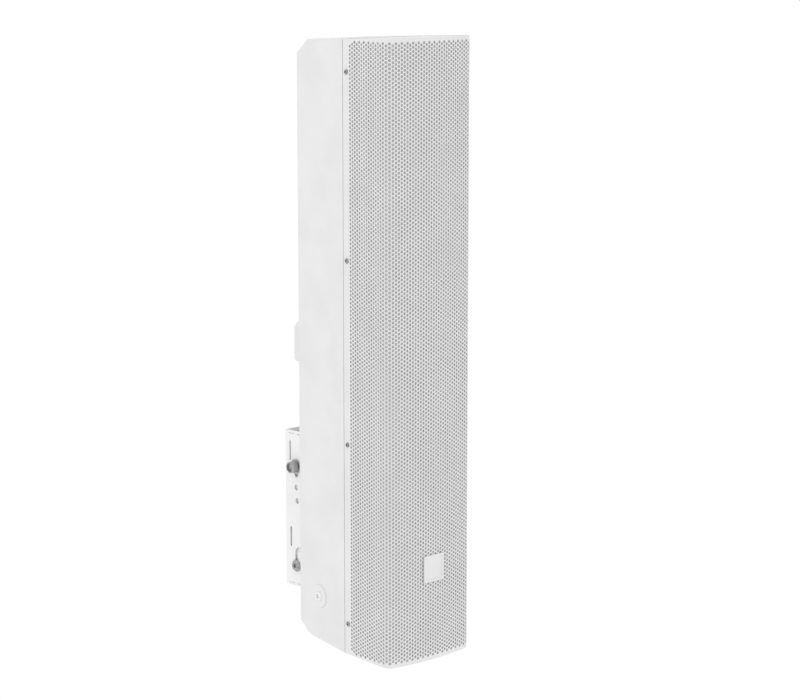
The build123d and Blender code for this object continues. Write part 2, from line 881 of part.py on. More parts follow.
block_depth = 12.0
block_top_y = back_y + plate_thickness + block_depth
terminal_count = 4
terminal_pitch = 12.0
terminal_radius = 3.2
terminal_depth = 5.0
with BuildPart() as terminal_block:
    with Locations((0, block_top_y - block_depth / 2, cover_mid_z)):
        Box(52.0, block_depth, 18.0)
    chamfer(terminal_block.edges().filter_by(Axis.X), 1.2)
    with BuildSketch(facing_front(block_top_y, cover_mid_z)):
        with GridLocations(terminal_pitch, 0, terminal_count, 1):
            Circle(terminal_radius)
    extrude(amount=terminal_depth, mode=Mode.SUBTRACT)
save(terminal_block.part, "terminal_block")

cover_gasket = 1.0
cover_depth = 28.5
cover_wall = 2.5
cover_top_cut = 9.5
cover_bottom_cut = 4.0
cover_corner = 3.0
gasket_outer = (2 * cover_half_width - 1.0, cover_high_z - cover_low_z - 1.0)
gasket_width = 4.0
with BuildPart() as terminal_cover_gasket:
    with BuildSketch(facing_front(back_y, cover_mid_z)):
        Rectangle(*gasket_outer)
        offset(amount=-gasket_width, mode=Mode.SUBTRACT)
    extrude(amount=-cover_gasket)
save(terminal_cover_gasket.part, "terminal_cover_gasket")


def cover_block(inset, front_y):
    """The weather cover's outer form, or with an inset its hollow."""
    rear_y = back_y + cover_depth - inset
    half = cover_half_width - inset
    with BuildPart() as block:
        with BuildSketch(Plane.YZ):
            with BuildLine():
                Polyline(
                    (front_y, cover_low_z + inset),
                    (rear_y - cover_bottom_cut, cover_low_z + inset),
                    (rear_y, cover_low_z + inset + cover_bottom_cut),
                    (rear_y, cover_high_z - inset - cover_top_cut),
                    (rear_y - cover_top_cut, cover_high_z - inset),
                    (front_y, cover_high_z - inset),
                    close=True,
                )
            make_face()
        extrude(amount=half, both=True)
    return block.part


cover_boss_radius = 4.0
gland_y = back_y + 13.0
gland_thread_radius = 8.0
with BuildPart() as terminal_cover:
    add(cover_block(0, back_y + cover_gasket))
    fillet(terminal_cover.edges().filter_by(Axis.Y), cover_corner)
    add(cover_block(cover_wall, back_y - overcut), mode=Mode.SUBTRACT)
    boss_plane = facing_front(back_y + cover_gasket)
    with BuildSketch(boss_plane):
        with Locations(*cover_screws):
            Circle(cover_boss_radius)
    extrude(amount=-(cover_depth - cover_gasket - cover_wall / 2))
    with BuildSketch(boss_plane):
        with Locations(*cover_screws):
            Circle(cover_screw_radius + screw_clearance)
    extrude(amount=-cover_depth, mode=Mode.SUBTRACT)
    with BuildSketch(Plane((0, gland_y, cover_low_z - overcut))):
        Circle(gland_thread_radius + screw_clearance)
    extrude(amount=cover_wall + 2 * overcut, mode=Mode.SUBTRACT)
save(terminal_cover.part, "terminal_cover")

cover_screw = screw(
    shank_radius=cover_screw_radius,
    shank_length=cover_depth + shell_wall - 1.0,
    head_radius=3.2,
    head_height=2.0,
    socket_radius=1.4,
)
cover_screw_places = rear_screw_places(cover_screws, back_y + cover_depth)
save(screw_set(cover_screw, cover_screw_places), "terminal_cover_screws")

# The cable gland points down out of the cover, ready for the installer's cable.
gland_bore_radius = 5.0
gland_body_radius = 12.0
gland_body_height = 6.0
gland_nut_radius = 9.5
gland_nut_height = 4.0
gland_cap_radius = 10.5
gland_cap_height = 10.0
gland_cap_taper = 12
gland_low_z = cover_low_z - gland_body_height - gland_cap_height
gland_high_z = cover_low_z + cover_wall + gland_nut_height
with BuildPart() as cable_gland:
    body_plane = Plane((0, gland_y, cover_low_z - gland_body_height))
    with BuildSketch(body_plane):
        RegularPolygon(gland_body_radius, 6)
    extrude(amount=gland_body_height)
    with BuildSketch(Plane((0, gland_y, cover_low_z))):
        Circle(gland_thread_radius)
    extrude(amount=cover_wall)
    with BuildSketch(Plane((0, gland_y, cover_low_z + cover_wall))):
        RegularPolygon(gland_nut_radius, 6)
    extrude(amount=gland_nut_height)
    with BuildSketch(body_plane):
        Circle(gland_cap_radius)
    extrude(amount=-gland_cap_height, taper=gland_cap_taper)
    with BuildSketch(Plane((0, gland_y, gland_low_z - overcut))):
        Circle(gland_bore_radius)
    extrude(amount=gland_high_z - gland_low_z + 2 * overcut, mode=Mode.SUBTRACT)
save(cable_gland.part, "cable_gland")

# ---------------------------------------------------------------- side rigging points

disc_thickness = 1.6
disc_bevel = 0.5
rigging_bolt_length = 18.0
with BuildPart() as rigging_discs:
    for plane in rigging_planes:
        with BuildSketch(plane):
            Circle(rigging_disc_radius)
            Circle(rigging_bolt_radius + screw_clearance, mode=Mode.SUBTRACT)
        extrude(amount=disc_thickness)
    for face in rigging_discs.faces().filter_by(GeomType.PLANE).sort_by(SortBy.AREA)[-4:]:
        if abs(face.center().X) > half_width(rigging_depth) + disc_thickness / 2:
            chamfer(face.outer_wire().edges(), disc_bevel)
save(rigging_discs.part, "rigging_discs")

rigging_bolt = screw(
    shank_radius=rigging_bolt_radius,
    shank_length=rigging_bolt_length,
    head_radius=7.6,
    head_height=2.6,
    socket_radius=4.6,
    socket_depth=5.0,
)
rigging_nut_radius = 9.8
rigging_nut_thickness = 6.0
rigging_bolt_places = [plane.offset(disc_thickness).location for plane in rigging_planes]
save(screw_set(rigging_bolt, rigging_bolt_places), "rigging_bolts")

with BuildPart() as rigging_nuts:
    for plane in rigging_planes:
        with BuildSketch(plane.offset(-shell_wall - 0.1)):
            RegularPolygon(rigging_nut_radius, 6)
            Circle(rigging_bolt_radius + thread_gap, mode=Mode.SUBTRACT)
        extrude(amount=-rigging_nut_thickness)
save(rigging_nuts.part, "rigging_nuts")

# Wadding on the shell's back wall, above and below the crossover.
pad_thickness = 8.0
pad_width = 120.0
pad_gap = 0.5
pad_spans = ((335.0, 455.0), (745.0, 950.0))
pad_y = back_y - shell_wall - pad_gap - pad_thickness / 2
with BuildPart() as damping_pads:
    for low, high in pad_spans:
        with Locations((0, pad_y, bottom_z + (low + high) / 2)):
            Box(pad_width, pad_thickness, high - low)
save(damping_pads.part, "damping_pads")

# ---------------------------------------------------------------- brackets

# The wall bracket is a folded channel, open towards the speaker and at both ends.
slot_half_width = bolt_radius + running_gap
hook_turn_z = pivot_z + 22.0
hook_radius = 6.5
strap_slots = ((-14.5, 99.3), (-15.5, -49.2))
strap_slot_size = (34.5, 4.5)
index_holes = ((-29.6, 37.5), (-32.2, 14.7))
index_hole_radius = 5.0
clamp_slot_drop = 14.6
clamp_slot_gap = 0.3
tray_window_size = (46.0, 120.0)
tray_window_corner = 8.0
seam_slits = ((-13.9, 4.0), (-21.4, 5.6), (-35.6, 6.6))
seam_slit_width = 1.1
seam_slit_drop = 4.4

with BuildPart() as wall_bracket:
    with BuildSketch(Plane.XY.offset(-tray_height / 2)):
        with Locations((0, -tray_depth / 2)):
            Rectangle(2 * tray_half_width, tray_depth)
        with Locations((0, -tray_depth / 2 - tray_sheet)):
            Rectangle(2 * tray_inner_half, tray_depth, mode=Mode.SUBTRACT)
    extrude(amount=tray_height)
    upright_edges = wall_bracket.edges().filter_by(Axis.Z)
    fillet(upright_edges.filter_by_position(Axis.Y, -0.1, 0.1), tray_bend)
    inner_edges = upright_edges.filter_by_position(Axis.Y, -tray_sheet - 0.1, -tray_sheet + 0.1)
    fillet(inner_edges, tray_bend - tray_sheet)
    with BuildSketch(facing_front(overcut)):
        with GridLocations(wall_hole_spacing_x, wall_hole_spacing_z, 2, 2):
            Circle(wall_hole_radius)
        RectangleRounded(*tray_window_size, tray_window_corner)
    extrude(amount=tray_sheet + 2 * overcut, mode=Mode.SUBTRACT)
    slit_z = tray_height / 2 - seam_slit_drop
    for y, length in seam_slits:
        with Locations(*[(x * tray_half_width, y, z * slit_z) for x in sides for z in sides]):
            Box(2 * tray_sheet, length, seam_slit_width, mode=Mode.SUBTRACT)
    with BuildSketch(Plane.YZ):
        for y, z in strap_slots:
            with Locations((y, z)):
                SlotOverall(*strap_slot_size, rotation=90)
        for y, z in index_holes:
            with Locations((y, z)):
                Circle(index_hole_radius)
        with Locations((pivot_y, clamp_z - clamp_slot_drop / 2)):
            SlotCenterToCenter(clamp_slot_drop, 2 * (bolt_radius + clamp_slot_gap), rotation=90)
        with Locations((pivot_y, pivot_z)):
            Circle(slot_half_width)
        with BuildLine():
            slot_front = pivot_y - slot_half_width
            slot_back = pivot_y + slot_half_width
            turn_y = pivot_y - hook_radius
            low_side = hook_turn_z + hook_radius - slot_half_width
            high_side = hook_turn_z + hook_radius + slot_half_width
            Line((slot_front, pivot_z), (slot_front, hook_turn_z))
            RadiusArc(
                (slot_front, hook_turn_z), (turn_y, low_side), slot_half_width - hook_radius
            )
            Polyline(
                (turn_y, low_side),
                (-tray_depth - overcut, low_side),
                (-tray_depth - overcut, high_side),
                (turn_y, high_side),
            )
            RadiusArc((turn_y, high_side), (slot_back, hook_turn_z), hook_radius + slot_half_width)
            Polyline((slot_back, hook_turn_z), (slot_back, pivot_z), (slot_front, pivot_z))
        make_face()
    extrude(amount=2 * tray_half_width, both=True, mode=Mode.SUBTRACT)
save(wall_bracket.part, "wall_bracket")

# The speaker bracket is a channel on the shell's back. Its arms hold the pivot bolts, and an open
# curved slot in each lets the clamp bolt pass as the speaker tilts.
arm_top = 104.0
arm_bottom = -122.0
arm_back_upper = -9.5
arm_back_lower = -15.5
arm_back_middle = -19.5
arm_notch_y = -37.5
arm_notch_low_z = 46.0
arm_notch_high_z = clamp_z - 10.0
arm_low_corner = 12.0
arm_high_corner = 8.0
arm_step_low_z = pivot_z + 20.0
arm_step_high_z = pivot_z + 40.0
clamp_reach = clamp_z - pivot_z
clamp_slot_half = bolt_radius + 0.5
clamp_slot_start = 0.6  # degrees behind the bolt at rest
clamp_slot_round = 2.0

with BuildPart() as speaker_bracket:
    with BuildSketch(Plane.YZ.offset(-arm_outer)):
        with BuildLine():
            Polyline(
                (back_y, arm_bottom),
                (arm_back_lower - arm_low_corner, arm_bottom),
                (arm_back_lower, arm_bottom + arm_low_corner),
                (arm_back_lower, arm_step_low_z),
                (arm_back_middle, arm_step_high_z),
                (arm_back_middle, arm_notch_low_z),
                (arm_notch_y, arm_notch_low_z),
                (arm_notch_y, arm_notch_high_z),
                (arm_back_upper, arm_notch_high_z),
                (arm_back_upper, arm_top - arm_high_corner),
                (arm_back_upper - arm_high_corner, arm_top),
                (back_y, arm_top),
                close=True,
            )
        make_face()
        with Locations((pivot_y, pivot_z)):
            Circle(bolt_radius + thread_gap, mode=Mode.SUBTRACT)
        with BuildLine():
            sweep = degrees((pivot_y - arm_back_upper - clamp_slot_half) / clamp_reach)
            start = 90.0 + clamp_slot_start
            span = sweep - clamp_slot_start
            pivot = (pivot_y, pivot_z)
            inner = CenterArc(pivot, clamp_reach - clamp_slot_half, start, span)
            outer = CenterArc(pivot, clamp_reach + clamp_slot_half, start, span)
            slot_end = (pivot_y - clamp_slot_half - clamp_slot_round, clamp_z)
            ThreePointArc(inner @ 0, slot_end, outer @ 0)
            Line(inner @ 1, outer @ 1)
        make_face(mode=Mode.SUBTRACT)
    extrude(amount=arm_sheet)
    mirror(about=Plane.YZ)
    with Locations((0, back_y + arm_sheet / 2, (arm_top + arm_bottom) / 2)):
        Box(2 * arm_outer, arm_sheet, arm_top - arm_bottom)
    with BuildSketch(facing_front(back_y - overcut)):
        with Locations(*arm_screws):
            Circle(arm_screw_radius + screw_clearance)
    extrude(amount=-(arm_sheet + 2 * overcut), mode=Mode.SUBTRACT)
save(speaker_bracket.part, "speaker_bracket")

bracket_screw = screw(
    shank_radius=arm_screw_radius,
    shank_length=arm_sheet + shell_wall + 8.0,
    head_radius=5.5,
    head_height=3.3,
    socket_radius=2.6,
)
save(
    screw_set(bracket_screw, rear_screw_places(arm_screws, back_y + arm_sheet)), "bracket_screws"
)


def sideways(x, y, z, side):
    """A location on one cheek whose own +Z points outwards along X."""
    return Location((side * x, y, z), (0, side * 90, 0))


# Pivot bolts: low button heads outside the tray's cheeks.
head_gap = 0.4
bolt_tail = 10.0
pivot_bolt = screw(
    shank_radius=bolt_radius,
    shank_length=tray_half_width + head_gap - arm_inner + bolt_tail,
    head_radius=10.0,
    head_height=4.5,
    socket_radius=4.0,
)
pivot_seats = [sideways(tray_half_width + head_gap, pivot_y, pivot_z, side) for side in sides]
save(screw_set(pivot_bolt, pivot_seats), "pivot_bolts")

nut_radius = 7.5
nut_thickness = 6.8
with BuildPart() as nut:
    with BuildSketch(Plane.XY.offset(-nut_thickness)):
        RegularPolygon(nut_radius, 6)
        Circle(bolt_radius + thread_gap, mode=Mode.SUBTRACT)
    extrude(amount=nut_thickness)
pivot_nut_places = [sideways(arm_inner, pivot_y, pivot_z, side) for side in sides]
save(screw_set(nut.part, pivot_nut_places), "pivot_nuts")

# Clamp bolts: tall cupped heads over a large washer on the tray's cheeks, and a nut inside each arm.
washer_radius = 12.5
washer_thickness = 2.5
washer_bevel = 0.4
clamp_bolt_length = washer_thickness + tray_half_width - arm_inner + bolt_tail
clamp_head_radius = 9.6
clamp_head_height = 12.0
clamp_head_bevel = 0.8
clamp_cup_radius = 7.0
clamp_cup_depth = 2.6
with BuildPart() as clamp_bolt:
    Cylinder(clamp_head_radius, clamp_head_height, align=(Align.CENTER, Align.CENTER, Align.MIN))
    head_top = clamp_bolt.faces().sort_by(Axis.Z)[-1]
    chamfer(head_top.edges(), clamp_head_bevel)
    with BuildSketch(Plane.XY.offset(clamp_head_height)):
        Circle(clamp_cup_radius)
    extrude(amount=-clamp_cup_depth, mode=Mode.SUBTRACT)
    with BuildSketch():
        Circle(bolt_radius)
    extrude(amount=-clamp_bolt_length)
clamp_bolt_places = [
    sideways(tray_half_width + washer_thickness, pivot_y, clamp_z, side) for side in sides
]
save(screw_set(clamp_bolt.part, clamp_bolt_places), "clamp_bolts")

washer = turned(
    [
        (bolt_radius + screw_clearance, 0),
        (washer_radius, 0),
        (washer_radius, washer_thickness - washer_bevel),
        (washer_radius - washer_bevel, washer_thickness),
        (bolt_radius + screw_clearance, washer_thickness),
    ]
)
washer_places = [sideways(tray_half_width, pivot_y, clamp_z, side) for side in sides]
save(screw_set(washer, washer_places), "clamp_washers")

clamp_nut_places = [sideways(arm_inner - fit_gap, pivot_y, clamp_z, side) for side in sides]
save(screw_set(nut.part, clamp_nut_places), "clamp_nuts")
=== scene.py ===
import json
import math

import bpy
import numpy as np
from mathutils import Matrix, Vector


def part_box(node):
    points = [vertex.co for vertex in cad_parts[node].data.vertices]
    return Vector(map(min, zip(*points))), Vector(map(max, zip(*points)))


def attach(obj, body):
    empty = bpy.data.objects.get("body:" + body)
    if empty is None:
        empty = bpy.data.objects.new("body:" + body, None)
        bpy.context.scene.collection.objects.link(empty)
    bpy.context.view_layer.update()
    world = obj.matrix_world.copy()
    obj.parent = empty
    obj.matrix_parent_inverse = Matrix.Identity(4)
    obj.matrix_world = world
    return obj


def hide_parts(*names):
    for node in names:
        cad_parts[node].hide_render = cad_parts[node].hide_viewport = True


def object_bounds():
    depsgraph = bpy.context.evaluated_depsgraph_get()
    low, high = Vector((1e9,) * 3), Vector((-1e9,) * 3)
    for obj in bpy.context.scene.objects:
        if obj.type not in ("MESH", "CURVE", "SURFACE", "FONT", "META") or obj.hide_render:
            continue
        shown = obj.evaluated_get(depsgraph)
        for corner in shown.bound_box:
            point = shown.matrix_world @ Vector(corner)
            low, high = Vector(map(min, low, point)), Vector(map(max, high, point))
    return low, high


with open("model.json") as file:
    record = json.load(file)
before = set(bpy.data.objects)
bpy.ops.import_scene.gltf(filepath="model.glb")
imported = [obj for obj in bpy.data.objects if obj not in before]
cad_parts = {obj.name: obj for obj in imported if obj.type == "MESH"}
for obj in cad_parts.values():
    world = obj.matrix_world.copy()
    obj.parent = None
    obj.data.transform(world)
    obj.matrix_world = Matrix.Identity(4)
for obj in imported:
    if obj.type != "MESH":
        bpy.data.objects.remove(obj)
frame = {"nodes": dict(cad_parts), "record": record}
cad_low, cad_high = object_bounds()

# The looks of a wall-mounted line array speaker. Metres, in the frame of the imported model: the
# origin is the centre of the wall bracket's rear face, -Y faces the audience and +Z is up.

nodes = frame["nodes"]

# ---------------------------------------------------------------- camera, light and stage

camera_place = Vector((-2.6270, -3.0045, 0.9670))
camera_down = math.radians(10.017)
camera_turn = math.radians(43.44)
camera_lens = 107.89
camera_sensor = 36.0

camera_data = bpy.data.cameras.new("camera")
camera_data.lens = camera_lens
camera_data.sensor_width = camera_sensor
camera_data.clip_start = 0.05
camera_data.clip_end = 60.0
camera = bpy.data.objects.new("camera", camera_data)
camera.location = camera_place
camera.rotation_euler = (math.radians(90) - camera_down, 0, -camera_turn)
bpy.context.scene.collection.objects.link(camera)
bpy.context.scene.camera = camera
bpy.context.scene.view_settings.view_transform = "Standard"

middle = (cad_low + cad_high) / 2
tall = cad_high.z - cad_low.z


def soft_light(name, bearing, rise, distance, size, power):
    """A square area light at a compass bearing and a rise in degrees, aimed at the speaker."""
    data = bpy.data.lights.new(name, "AREA")
    data.shape = "SQUARE"
    data.size = size
    data.energy = power
    light = bpy.data.objects.new(name, data)
    turn = math.radians(bearing)
    lift = math.radians(rise)
    away = Vector((math.sin(turn) * math.cos(lift), -math.cos(turn) * math.cos(lift), math.sin(lift)))
    light.location = middle + away * distance
    light.rotation_mode = "QUATERNION"
    light.rotation_quaternion = (-away).to_track_quat("-Z", "Y")
    bpy.context.scene.collection.objects.link(light)


soft_light("key_light", bearing=20, rise=35, distance=4.0, size=2.5, power=3)
soft_light("fill_light", bearing=-95, rise=25, distance=4.0, size=2.5, power=8)

world = bpy.data.worlds.new("studio")
world.use_nodes = True
world.node_tree.nodes["Background"].inputs["Color"].default_value = (1, 1, 1, 1)
world.node_tree.nodes["Background"].inputs["Strength"].default_value = 1.0
bpy.context.scene.world = world

floor_drop = 0.35 * tall
floor_reach = 14.0
floor_glow = 0.05


def mesh_object(name, points, faces):
    """A mesh object from points and faces, linked to the scene."""
    mesh = bpy.data.meshes.new(name)
    mesh.from_pydata(points, [], faces)
    mesh.validate()
    made = bpy.data.objects.new(name, mesh)
    bpy.context.scene.collection.objects.link(made)
    return made


floor_z = cad_low.z - floor_drop
floor = mesh_object(
    "floor",
    [
        (-floor_reach, -floor_reach, floor_z),
        (floor_reach, -floor_reach, floor_z),
        (floor_reach, floor_reach, floor_z),
        (-floor_reach, floor_reach, floor_z),
    ],
    [(0, 1, 2, 3)],
)

# ---------------------------------------------------------------- materials

MM = 0.001
BANDS_PER_UNIT = math.tau / 20  # a wave texture's scale for one band in each unit of length


def scaled(colour, share):
    """A colour darkened or lightened by a share, and no brighter than white."""
    return tuple(min(1.0, share * channel) for channel in colour)


class Finish:
    """A material under construction: short calls that add the patterns its shader mixes."""

    def __init__(self, name, rough=0.5, metal=0.0, **plain):
        self.material = bpy.data.materials.new(name)
        self.material.use_nodes = True
        self.tree = self.material.node_tree
        self.shader = self.tree.nodes["Principled BSDF"]
        self.shader.inputs["Roughness"].default_value = rough
        self.shader.inputs["Metallic"].default_value = metal
        for socket, value in plain.items():
            self.shader.inputs[socket.replace("_", " ")].default_value = value
        self.place = self.tree.nodes.new("ShaderNodeTexCoord").outputs["Object"]
        self.bumps = None

    def node(self, kind, links=(), **settings):
        """A node with its settings, and links given as (input, socket or value) pairs."""
        made = self.tree.nodes.new(kind)
        for key, value in settings.items():
            setattr(made, key, value)
        for key, value in links:
            if isinstance(value, bpy.types.NodeSocket):
                self.tree.links.new(value, made.inputs[key])
            else:
                made.inputs[key].default_value = value
        return made

    def stretched(self, stretch):
        """The surface place, scaled along its axes."""
        return self.node(
            "ShaderNodeMapping", [("Vector", self.place), ("Scale", stretch)], vector_type="POINT"
        ).outputs["Vector"]

    def noise(self, grain_mm, detail=3.0, rough=0.5, stretch=None):
        """Cloudy noise, 0 to 1, whose lumps are about that many millimetres across."""
        place = self.stretched(stretch) if stretch else self.place
        links = [
            ("Vector", place),
            ("Scale", 1 / (grain_mm * MM)),
            ("Detail", detail),
            ("Roughness", rough),
        ]
        return self.node("ShaderNodeTexNoise", links).outputs["Fac"]

    def cells(self, grain_mm, feature="F1"):
        """Distance to the nearest of scattered points that many millimetres apart."""
        links = [("Vector", self.place), ("Scale", 1 / (grain_mm * MM))]
        return self.node("ShaderNodeTexVoronoi", links, feature=feature).outputs["Distance"]

    def lines(self, pitch_mm, direction):
        """Soft parallel ridges with that pitch, one after another along an axis."""
        links = [("Vector", self.place), ("Scale", BANDS_PER_UNIT / (pitch_mm * MM))]
        return self.node("ShaderNodeTexWave", links, bands_direction=direction).outputs["Fac"]

    def spread(self, value, low, high, to_low=0.0, to_high=1.0):
        """A value read between low and high, given out between two others."""
        links = [
            ("Value", value),
            ("From Min", low),
            ("From Max", high),
            ("To Min", to_low),
            ("To Max", to_high),
        ]
        return self.node("ShaderNodeMapRange", links).outputs["Result"]

    def product(self, first, second):
        """Two values multiplied, each a socket or a number."""
        links = [(0, first), (1, second)]
        return self.node("ShaderNodeMath", links, operation="MULTIPLY").outputs[0]

    def larger(self, first, second):
        """The larger of two sockets' values."""
        links = [(0, first), (1, second)]
        return self.node("ShaderNodeMath", links, operation="MAXIMUM").outputs[0]

    def edges(self, radius_mm):
        """1 on sharp edges and 0 on flat faces."""
        soft = self.node("ShaderNodeBevel", [("Radius", radius_mm * MM)], samples=4).outputs["Normal"]
        true = self.node("ShaderNodeNewGeometry").outputs["Normal"]
        alike = self.node("ShaderNodeVectorMath", [(0, soft), (1, true)], operation="DOT_PRODUCT")
        return self.spread(alike.outputs["Value"], 0.995, 0.85)

    def crevices(self, reach_mm):
        """1 in corners that face other surfaces and 0 in the open, read from ambient occlusion: a
        mask for painted shade.
        """
        open_share = self.node(
            "ShaderNodeAmbientOcclusion", [("Distance", reach_mm * MM)], samples=6, only_local=False
        ).outputs["AO"]
        return self.spread(open_share, 1.0, 0.45)

    def blend(self, share, first, second):
        """A colour between two, each a socket or red, green and blue."""
        mix = self.node("ShaderNodeMix", data_type="RGBA")
        for key, value in (("A", first), ("B", second)):
            socket = next(s for s in mix.inputs if s.name == key and s.type == "RGBA")
            if isinstance(value, bpy.types.NodeSocket):
                self.tree.links.new(value, socket)
            else:
                socket.default_value = (*value, 1)
        self.tree.links.new(share, mix.inputs[0])
        return next(s for s in mix.outputs if s.type == "RGBA")

    def colour(self, socket):
        """Sends a colour to the shader."""
        self.tree.links.new(socket, self.shader.inputs["Base Color"])

    def roughness(self, socket):
        """Sends a roughness to the shader."""
        self.tree.links.new(socket, self.shader.inputs["Roughness"])

    def bump(self, height, depth_mm, strength=1.0):
        """Adds a relief of that depth on top of the earlier ones."""
        links = [("Height", height), ("Distance", depth_mm * MM), ("Strength", strength)]
        if self.bumps:
            links.append(("Normal", self.bumps))
        self.bumps = self.node("ShaderNodeBump", links).outputs["Normal"]
        self.tree.links.new(self.bumps, self.shader.inputs["Normal"])


def painted(name, pale, grain_mm, relief_mm, rough, edge_mm=0.6):
    """White coating: faint clouding, a fine stipple, thin paint on the edges and painted shade in
    corners.
    """
    made = Finish(name, Specular_IOR_Level=0.45)
    clouds = made.spread(made.noise(60, detail=4), 0.35, 0.65)
    speckle = made.spread(made.noise(grain_mm * 1.6, detail=2), 0.60, 0.72)
    tone = made.blend(clouds, scaled(pale, 0.955), pale)
    tone = made.blend(made.product(speckle, 0.12), tone, scaled(pale, 0.80))
    worn = made.product(made.edges(edge_mm), made.spread(made.noise(9, detail=3), 0.45, 0.75))
    tone = made.blend(made.product(worn, 0.35), tone, (0.560, 0.555, 0.555))
    # Corners hidden by nearby surfaces are darkened towards grey: painted shade in the corners.
    painted_corner_shade = made.product(made.crevices(9), 0.22)
    tone = made.blend(painted_corner_shade, tone, (0.500, 0.490, 0.490))
    made.colour(tone)
    made.roughness(made.spread(made.noise(14, detail=3), 0.3, 0.7, rough - 0.06, rough + 0.08))
    made.bump(made.noise(grain_mm, detail=2), relief_mm)
    made.bump(made.noise(35, detail=1), depth_mm=0.05)
    return made.material


def machined(name, pale, dark, rough):
    """Plated or bare steel: brushed streaks, darker stains and worn bright edges."""
    made = Finish(name, metal=1.0)
    streaks = made.spread(made.noise(2.2, detail=4, stretch=(1, 1, 9)), 0.35, 0.7)
    stains = made.spread(made.noise(6, detail=3), 0.45, 0.75)
    tone = made.blend(streaks, pale, scaled(pale, 0.8))
    tone = made.blend(stains, tone, dark)
    tone = made.blend(made.product(made.edges(0.4), 0.5), tone, scaled(pale, 1.4))
    made.colour(tone)
    made.roughness(made.spread(streaks, 0, 1, rough - 0.07, rough + 0.1))
    made.bump(streaks, depth_mm=0.03)
    return made.material


def moulded(name, pale, rough, grain_mm=0.9, relief_mm=0.03):
    """Moulded plastic: a fine spark texture, slight clouding and scuffed edges."""
    made = Finish(name)
    clouds = made.spread(made.noise(25, detail=3), 0.35, 0.65)
    tone = made.blend(clouds, pale, scaled(pale, 0.86))
    scuffs = made.product(made.edges(0.5), made.spread(made.noise(5, detail=3), 0.45, 0.7))
    scuffed = tuple(0.7 * channel + 0.12 for channel in pale)
    tone = made.blend(made.product(scuffs, 0.4), tone, scuffed)
    made.colour(tone)
    made.roughness(made.spread(made.noise(8, detail=3), 0.3, 0.7, rough - 0.05, rough + 0.08))
    made.bump(made.noise(grain_mm, detail=2), relief_mm)
    return made.material


def woven(name, pale, dark, pitch_mm, relief_mm, rough=0.9, sheen=0.0):
    """Woven cloth: crossing threads with shadows between them and slubs here and there."""
    made = Finish(name, Sheen_Weight=sheen)
    across = made.lines(pitch_mm, "X")
    along = made.lines(pitch_mm, "Z")
    threads = made.product(across, along)
    slubs = made.spread(made.noise(3, detail=3, stretch=(1, 1, 0.2)), 0.4, 0.75)
    tone = made.blend(made.spread(threads, 0.0, 0.6), dark, pale)
    tone = made.blend(made.product(slubs, 0.35), tone, scaled(pale, 0.8))
    made.colour(tone)
    made.roughness(made.spread(slubs, 0, 1, rough - 0.05, rough + 0.05))
    made.bump(threads, relief_mm)
    return made.material


def pulp(name, pale, dark, grain_mm, relief_mm, rough):
    """Pressed fibre: paper cones, boards and wadding, with matted fibres and specks."""
    made = Finish(name)
    fibres = made.noise(grain_mm, detail=5, rough=0.7, stretch=(1, 1, 0.35))
    crossing = made.noise(grain_mm, detail=5, rough=0.7, stretch=(0.35, 1, 1))
    matted = made.larger(fibres, crossing)
    tone = made.blend(made.spread(matted, 0.45, 0.75), dark, pale)
    specks = made.spread(made.cells(grain_mm * 5), 0.06, 0.0)
    tone = made.blend(made.product(specks, 0.5), tone, scaled(dark, 0.5))
    made.colour(tone)
    made.roughness(made.spread(matted, 0.4, 0.8, rough - 0.05, rough + 0.05))
    made.bump(matted, relief_mm)
    return made.material


def windings():
    """Enamelled copper wire laid turn by turn, with painted shade in the grooves and a painted
    highlight on each turn.
    """
    made = Finish("copper_wire", metal=1.0, Coat_Weight=0.6)
    turns = made.lines(0.5, "Y")
    # Dark to bright across each turn: painted shade in the grooves between turns and a painted
    # highlight on the crown of the wire.
    tone = made.blend(made.spread(turns, 0, 1), (0.28, 0.09, 0.04), (0.86, 0.42, 0.24))
    tarnish = made.product(made.spread(made.noise(4, detail=3), 0.5, 0.8), 0.4)
    tone = made.blend(tarnish, tone, (0.40, 0.14, 0.08))
    made.colour(tone)
    made.roughness(made.spread(made.noise(2, detail=2), 0.3, 0.7, 0.28, 0.42))
    made.bump(turns, depth_mm=0.12)
    return made.material


def circuit_board():
    """Green solder mask over copper tracks, with pale pads."""
    made = Finish("board_mask", Coat_Weight=0.3)
    tracks = made.spread(made.cells(7, "DISTANCE_TO_EDGE"), 0.05, 0.075)
    tone = made.blend(tracks, (0.07, 0.26, 0.10), (0.02, 0.13, 0.05))
    pads = made.spread(made.cells(5), 0.13, 0.10)
    tone = made.blend(pads, tone, (0.62, 0.60, 0.52))
    made.colour(tone)
    made.roughness(made.spread(made.noise(3, detail=3), 0.3, 0.7, 0.32, 0.45))
    made.bump(tracks, depth_mm=0.04)
    return made.material


def gasket():
    """Closed-cell gasket foam, its pores painted darker: painted shade in the recesses."""
    made = Finish("gasket_foam", rough=0.95)
    pores = made.cells(0.9)
    # Pore centres, sunk by the bump below, are darkened: painted shade in the pores.
    tone = made.blend(made.spread(pores, 0.1, 0.6), grey(0.30), grey(0.44))
    made.colour(tone)
    made.roughness(made.spread(made.noise(4, detail=2), 0.3, 0.7, 0.9, 0.98))
    made.bump(pores, depth_mm=0.25)
    return made.material


SHELL_WHITE = (0.783, 0.780, 0.783)
STEEL_WHITE = (0.862, 0.859, 0.862)
GRILLE_WHITE = (0.780, 0.775, 0.780)
STEEL = (0.46, 0.465, 0.47)


def grey(level, cool=0.0):
    """A grey, or one whose blue is a little higher."""
    return (level, level, level + cool)


